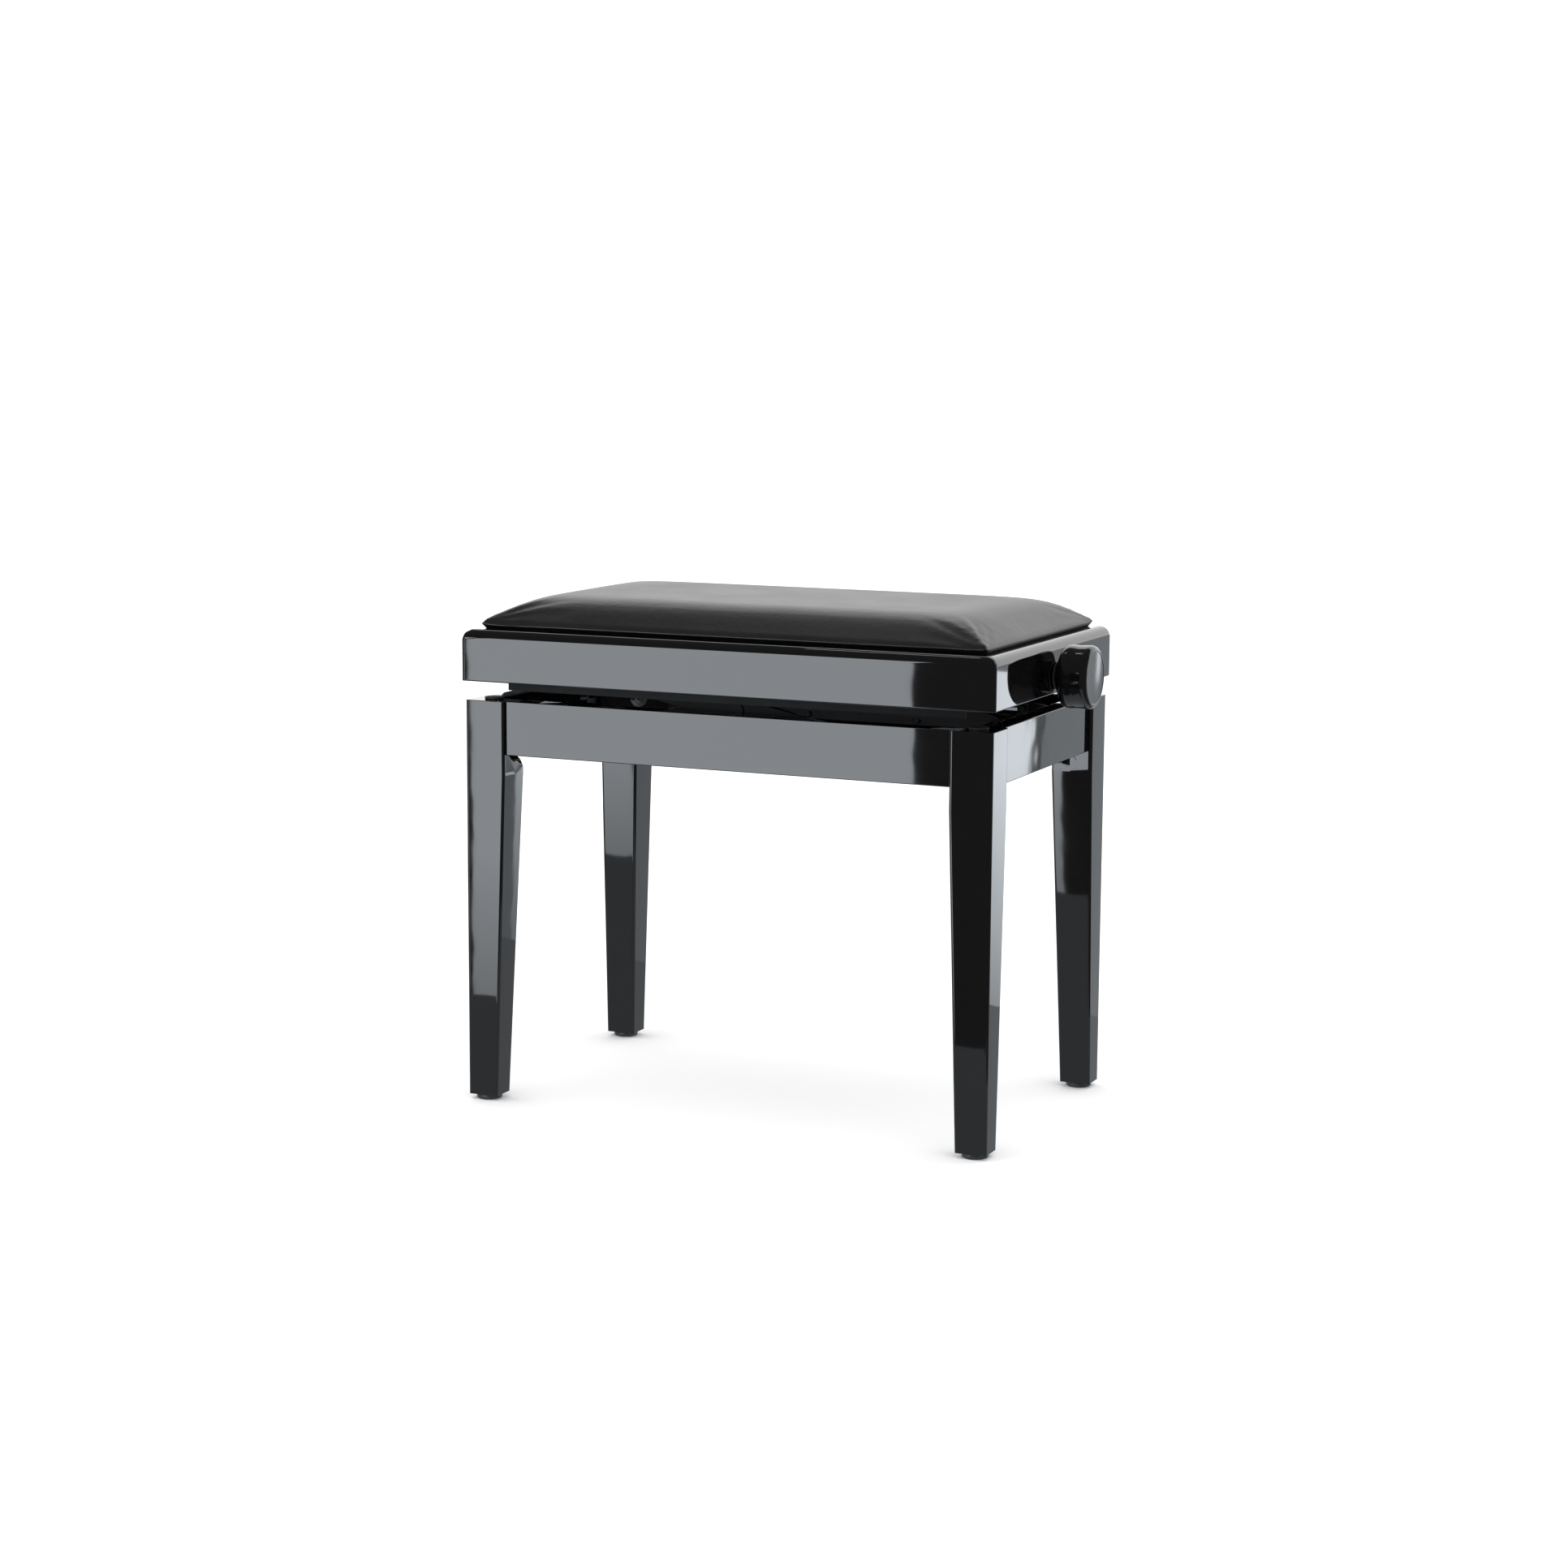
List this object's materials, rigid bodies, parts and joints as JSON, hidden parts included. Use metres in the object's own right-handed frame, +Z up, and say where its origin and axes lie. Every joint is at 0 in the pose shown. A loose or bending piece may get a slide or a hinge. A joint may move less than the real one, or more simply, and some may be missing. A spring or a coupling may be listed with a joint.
{
  "type": "piano bench",
  "caption": "Height-adjustable piano bench: padded seat frame on a double scissor lift over a four-legged base, with a knob at each end of its spindle.",
  "frame": {"origin": "on the floor, under the middle of the bench", "axes": "+X along the long side, towards the end that shows its knob; +Y towards the rear; +Z up"},
  "size_m": [0.626, 0.33, 0.496],
  "materials": {
    "black_lacquer": "high-gloss black polyester lacquer",
    "black_leather": "satin artificial leather, fine grain",
    "seat_foam": "open-cell polyurethane foam",
    "birch_plywood": "plywood stained black",
    "raw_beech": "beech stained black",
    "black_steel": "black electro-coated steel",
    "zinc_steel": "bright zinc-plated steel",
    "nylon": "black moulded nylon",
    "knob_plastic": "glossy black phenolic",
    "glide_plastic": "black polyethylene",
    "bumper_rubber": "black rubber"
  },
  "bodies": {
    "base": {"apron_front": "black_lacquer", "apron_left": "black_lacquer", "apron_rear": "black_lacquer", "apron_right": "black_lacquer", "base_channel_front": "black_steel", "base_channel_rear": "black_steel", "base_channel_screws": "black_steel", "bracket_screws": "black_steel", "corner_bracket_front_left": "black_steel", "corner_bracket_front_right": "black_steel", "corner_bracket_rear_left": "black_steel", "corner_bracket_rear_right": "black_steel", "leg_bolts": "zinc_steel", "leg_bumpers": "bumper_rubber", "leg_front_left": "black_lacquer", "leg_front_right": "black_lacquer", "leg_glides": "glide_plastic", "leg_nuts": "zinc_steel", "leg_rear_left": "black_lacquer", "leg_rear_right": "black_lacquer", "leg_washers": "zinc_steel"},
    "arm_a": {"arm_a_front": "black_steel", "arm_a_rear": "black_steel", "arm_a_shaft": "black_steel", "arm_rivets": "black_steel"},
    "arm_b": {"arm_b_front": "black_steel", "arm_b_rear": "black_steel", "arm_b_shaft": "black_steel", "base_rollers": "nylon"},
    "nut": {"spindle_nut": "zinc_steel", "nut_trunnions": "black_steel", "seat_rollers": "nylon", "trunnion_clips": "black_steel"},
    "spindle": {"spindle": "zinc_steel", "spindle_collars": "zinc_steel", "collar_screws": "zinc_steel", "knob_screws": "zinc_steel", "knob_left": "knob_plastic", "knob_right": "knob_plastic"},
    "seat": {"cleat_screws": "black_steel", "cushion_cover": "black_leather", "cushion_foam": "seat_foam", "seat_board": "birch_plywood", "seat_channel_front": "black_steel", "seat_channel_rear": "black_steel", "seat_channel_screws": "black_steel", "seat_cleat_front_left": "raw_beech", "seat_cleat_front_right": "raw_beech", "seat_cleat_rear_left": "raw_beech", "seat_cleat_rear_right": "raw_beech", "seat_pivot_pins": "black_steel", "seat_rail_front": "black_lacquer", "seat_rail_left": "black_lacquer", "seat_rail_rear": "black_lacquer", "seat_rail_right": "black_lacquer", "spindle_bush_left": "nylon", "spindle_bush_right": "nylon"}
  },
  "joints": [
    {"name": "lift", "type": "hinge", "parent": "base", "child": "arm_a", "pos_m": [-0.16643, 0, 0.361], "axis": [0, -1, 0], "range_deg": [-2.74, 15.24]},
    {"name": "arm_crossing", "type": "hinge", "parent": "arm_a", "child": "arm_b", "pos_m": [-0.00007, 0, 0.396], "axis": [0, -1, 0], "range_deg": [-30.49, 5.5]},
    {"name": "seat_pivot", "type": "hinge", "parent": "arm_b", "child": "seat", "pos_m": [-0.16643, 0, 0.431], "axis": [0, -1, 0], "range_deg": [-2.75, 15.25]},
    {"name": "nut_pivot", "type": "hinge", "parent": "arm_a", "child": "nut", "pos_m": [0.16629, 0, 0.431], "axis": [0, -1, 0], "range_deg": [-15.25, 2.75]},
    {"name": "spindle_turn", "type": "hinge", "parent": "seat", "child": "spindle", "pos_m": [0, 0, 0.431], "axis": [1, 0, 0], "range_deg": [-909, 5046]}
  ],
  "couplings": [
    {"joint": "arm_crossing", "follows": "lift", "ratio": -2},
    {"joint": "seat_pivot", "follows": "lift", "ratio": 1},
    {"joint": "nut_pivot", "follows": "lift", "ratio": -1},
    {"joint": "spindle_turn", "follows": "lift", "ratio": 331}
  ]
}
